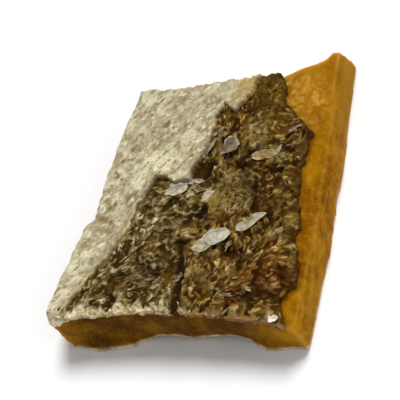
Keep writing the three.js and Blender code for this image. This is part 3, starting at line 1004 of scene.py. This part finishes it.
def flesh_material():
    shader = Shader("dried_flesh")
    grain = shader.noise(1.0, 4, 0.75)
    streaks = shader.noise(1.3, 2, drawn=(89, 5))
    blotches = shader.noise(1.3, 3)
    tone = shader.ramp(shader.noise(3.4, 4), (0.32, 116, 70, 2), (0.5, 145, 96, 3), (0.68, 173, 123, 10))
    shaded = shader.ramp(shader.noise(2.6, 3), (0.36, 62, 31, 1), (0.5, 86, 49, 2), (0.64, 124, 82, 10))
    shaded = shader.layers(shaded, ((146, 100, 24), shader.patchy(0.5, 0.5, 0.64, 0, 0.35, roughness=0.7)))
    flesh = shader.layers(
        tone,
        ((186, 136, 28), shader.steps(grain, 0.52, 0.64, 0, 0.45)),
        ((108, 62, 2), shader.steps(grain, 0.48, 0.36, 0, 0.4)),
        ((190, 142, 38), shader.steps(streaks, 0.52, 0.7, 0, 0.4)),
        # painted glow of the thin tab
        ((160, 110, 13), 0.5, "thin"),
        ((204, 158, 66), shader.patchy(0.4, 0.62, 0.76, 0, 0.35, detail=2)),
        (shaded, 0.85, "shaded"),
        ((186, 132, 18), 0.5, "lit"),
        # painted shade beside the skin's edge
        ((92, 50, 3), 0.5, "skin_edge_shade"),
        ((208, 160, 74), 0.75, "prints"),
        # painted highlight along convex edges
        ((196, 150, 66), shader.steps(blotches, 0.35, 0.65, 0.2, 0.9), "sharp"),
        # painted glow along the thin lower edges
        ((252, 224, 184), shader.steps(blotches, 0.35, 0.6, 0.2, 0.9), "rim"),
    )
    return shader.finished(
        flesh, roughness=(0.42, 0.65), patch=0.8, bumps=(0.35, 3, 0.06, 0.7),
        Subsurface_Weight=0.7, Subsurface_Scale=2.0 * MM, Subsurface_Radius=(1.0, 0.42, 0.08),
        Specular_IOR_Level=0.04, Specular_Tint=colour(235, 190, 110),
    )


def dark_skin_material():
    shader = Shader("dark_skin")
    ground = shader.ramp(shader.noise(1.6, 4), (0.3, 31, 16, 0), (0.5, 58, 37, 5), (0.7, 96, 70, 21))
    body = shader.ramp(
        "tone", (0.0, 74, 52, 14), (0.45, 108, 85, 34), (0.8, 142, 121, 70), (1.0, 190, 174, 130),
    )
    rim = shader.ramp("tone", (0.0, 116, 93, 46), (0.5, 176, 155, 104), (1.0, 246, 233, 196))
    shade = shader.ramp("shade", (0.0, 0.22, 0.18, 0.13), (0.5, 0.72, 0.7, 0.66), (1.0, 1, 1, 1), kind=shares)
    pit_brown = shader.ramp(shader.noise(0.7, 3), (0.35, 34, 17, 2), (0.65, 74, 42, 7))
    wall = shader.ramp(shader.noise(0.5, 3), (0.35, 52, 23, 1), (0.65, 106, 64, 14))
    torn = shader.ramp(shader.noise(0.8, 3), (0.35, 166, 142, 94), (0.6, 230, 215, 175))
    torn = shader.layers(torn, ((156, 106, 42), 0.8, "right"))
    skin = shader.layers(
        ground,
        (body, shader.steps("relief", 0.08, 0.55)),
        (rim, 0.85, "rim"),
    )
    skin = shader.layers(
        skin,
        (shade, 1.0),
        ((250, 224, 160), shader.patchy(3.4, 0.38, 0.62, 0.3, 1, detail=2), "right"),
        ((233, 176, 128), 0.65, "red"),
        ((232, 218, 136), 0.85, "olive"),
        way="MULTIPLY",
    )
    skin = shader.layers(
        skin,
        ((110, 86, 32), shader.patchy(0.8, 0.35, 0.65, 0, 0.5), "olive"),
        ((164, 138, 78), shader.patchy(0.7, 0.4, 0.62, 0.05, 0.7, roughness=0.7), "tan"),
        # painted shade in the crease, pit and hole
        ((28, 15, 4), "deep"),
        (pit_brown, "pit_brown"),
        ((58, 34, 8), "edge"),
        (wall, shader.steps("wall", 0.1, 0.5)),
        (torn, "cut"),
    )
    return shader.finished(
        skin, roughness=(0.5, 0.75), patch=0.6, bumps=(0.22, 3, 0.05, 0.6),
        Specular_IOR_Level=0.05, Specular_Tint=colour(240, 220, 180),
    )


def pale_skin_material():
    shader = Shader("pale_skin")
    cloud = shader.noise(7.0, 2)
    cream = shader.ramp(
        shader.noise(2.6, 3), (0.32, 172, 154, 118), (0.48, 188, 177, 144), (0.66, 203, 200, 171),
    )
    wrinkle = shader.ramp(
        "wrinkle", (0.2, 0.58, 0.53, 0.42), (0.5, 0.93, 0.92, 0.9), (0.8, 1, 1, 1), kind=shares,
    )
    # painted shadow: darker towards the foot of the band's inner edge
    side = shader.ramp("side", (0.0, 206, 196, 160), (0.25, 170, 148, 100), (0.6, 80, 56, 22))
    brown = shader.ramp(shader.noise(0.8, 3), (0.35, 158, 124, 66), (0.65, 196, 168, 106))
    wall = shader.ramp(shader.noise(0.6, 3), (0.35, 172, 150, 106), (0.65, 218, 206, 166))
    light = shader.noise(0.8, 4, 0.75, drawn=(GRAIN, 1.8))
    marks = shader.noise(0.6, 3, 0.7, drawn=(GRAIN, 2.2))
    skin = shader.layers(
        shader.layers(cream, (wrinkle, 1.0), way="MULTIPLY"),
        ((162, 142, 114), shader.steps(cloud, 0.52, 0.68, 0, 0.6)),
        ((217, 211, 170), shader.steps(cloud, 0.48, 0.32, 0, 0.6)),
        # painted light on the front-left corner
        ((230, 221, 188), 0.6, "corner"),
        ((146, 127, 86), shader.patchy(0.9, 0.53, 0.62, 0, 0.7, detail=4, roughness=0.8)),
        ((228, 222, 188), shader.steps(light, 0.53, 0.62, 0, 0.85)),
        ((108, 86, 48), 0.95, "speck"),
        ((124, 103, 64), shader.steps(marks, 0.56, 0.64, 0, 0.9)),
        # painted shade where the band rounds down towards its inner edge
        ((146, 124, 84), 0.45, "falling"),
        ((150, 120, 68), shader.patchy(1.5, 0.45, 0.7, 0, 0.45), "rim"),
        (side, shader.steps("side", 0.02, 0.15)),
        # browner rim of the band beside the pit
        ((98, 57, 14), shader.steps("rim", 0.3, 0.9, 0, 0.8), "pit_brown"),
        # painted shade along the fold
        ((140, 118, 74), 0.5, "fold"),
        (brown, 0.85, "tan"),
        (wall, shader.steps("wall", 0.2, 0.7)),
        ((240, 228, 188), 0.7, "cut"),
    )
    return shader.finished(
        skin, roughness=(0.4, 0.65), patch=0.6, bumps=(0.3, 4, 0.1, 0.8), Specular_IOR_Level=0.2,
    )


def loose_scale_material():
    shader = Shader("loose_scale")
    tint = shader.ramp(
        # the whitest stop is a painted glint on the small white flake
        "shade", (0.0, 252, 246, 232), (0.1, 192, 187, 168), (0.3, 176, 163, 132),
        (0.4, 160, 148, 126), (0.6, 120, 100, 73), (1.0, 160, 131, 66),
    )
    grey = shader.ramp(shader.noise(1.0, 4, 0.7), (0.38, 0.5, 0.46, 0.39), (0.58, 1, 1, 1), kind=shares)
    scale = shader.layers(
        shader.layers(tint, (grey, 1.0), way="MULTIPLY"),
        ((206, 198, 172), shader.patchy(0.9, 0.42, 0.6, 0, 0.6), "rim"),
    )
    return shader.finished(
        scale, roughness=(0.3, 0.55), patch=0.5, bumps=(0.25, 2, 0.05, 0.6), Specular_IOR_Level=0.25,
    )


def chip_material():
    shader = Shader("scale_chip")
    tone = shader.ramp(shader.noise(1.1, 3), (0.3, 86, 64, 28), (0.5, 120, 99, 57), (0.7, 174, 157, 118))
    return shader.finished(tone, roughness=(0.3, 0.55), patch=0.5, bumps=(0.2, 2, 0.03, 0.5))


def fringe_material():
    shader = Shader("fringe")
    tone = shader.ramp(shader.noise(1.2, 3), (0.3, 138, 108, 58), (0.5, 196, 178, 132), (0.7, 226, 214, 180))
    tone = shader.layers(tone, ((86, 58, 18), 0.8, "dark"))
    return shader.finished(tone, roughness=(0.45, 0.7), patch=0.5, bumps=(0.15, 2, 0.02, 0.5))


def floor_material():
    shader = Shader("floor")
    tone = shader.ramp(shader.noise(40, 2), (0.3, 0.92, 0.92, 0.92), (0.7, 0.94, 0.94, 0.94), kind=shares)
    shader.set(Base_Color=tone, Roughness=0.8, Specular_IOR_Level=0.2)
    return shader.material


# Stage

def make_floor():
    reach = 1.5  # metres
    corners = [(-reach, -reach, 0), (reach, -reach, 0), (reach, reach, 0), (-reach, reach, 0)]
    mesh = bpy.data.meshes.new("floor")
    mesh.from_pydata(corners, [], [(0, 1, 2, 3)])
    mesh.materials.append(floor_material())
    new_object("floor", mesh)


def make_camera():
    back = direction(CAMERA_AZIMUTH, CAMERA_ELEVATION)
    data = bpy.data.cameras.new("camera")
    data.lens = CAMERA_LENS
    data.sensor_width = 36
    camera = new_object("camera", data)
    upright = (-back).to_track_quat("-Z", "Y").to_matrix()
    rolled = upright @ Matrix.Rotation(math.radians(CAMERA_ROLL), 3, "Z")
    place = (Vector(CAMERA_AIM) + back * CAMERA_DISTANCE) * MM
    camera.matrix_world = Matrix.Translation(place) @ rolled.to_4x4()
    bpy.context.scene.camera = camera


def make_lights():
    world = bpy.data.worlds.new("studio")
    world.use_nodes = True
    world.node_tree.nodes["Background"].inputs["Color"].default_value = (1, 1, 1, 1)
    world.node_tree.nodes["Background"].inputs["Strength"].default_value = SKY_STRENGTH
    bpy.context.scene.world = world
    bpy.context.scene.view_settings.view_transform = "Standard"
    for name, form in LIGHTS.items():
        data = bpy.data.lights.new(name, "SUN")
        data.energy = form["strength"]
        data.angle = math.radians(form["softness"])
        light = new_object(name, data)
        light.rotation_mode = "QUATERNION"
        light.rotation_quaternion = (-direction(form["azimuth"], form["elevation"])).to_track_quat("-Z", "Y")


corners = upper_corners()
make_camera()
make_lights()
make_floor()
skins = [make_dark_skin(), make_band()]
tree = skin_tree(skins)
for piece in (make_flesh(), *skins, make_loose_scales(tree), make_chips(tree), make_fringe(tree)):
    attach(piece, "root")
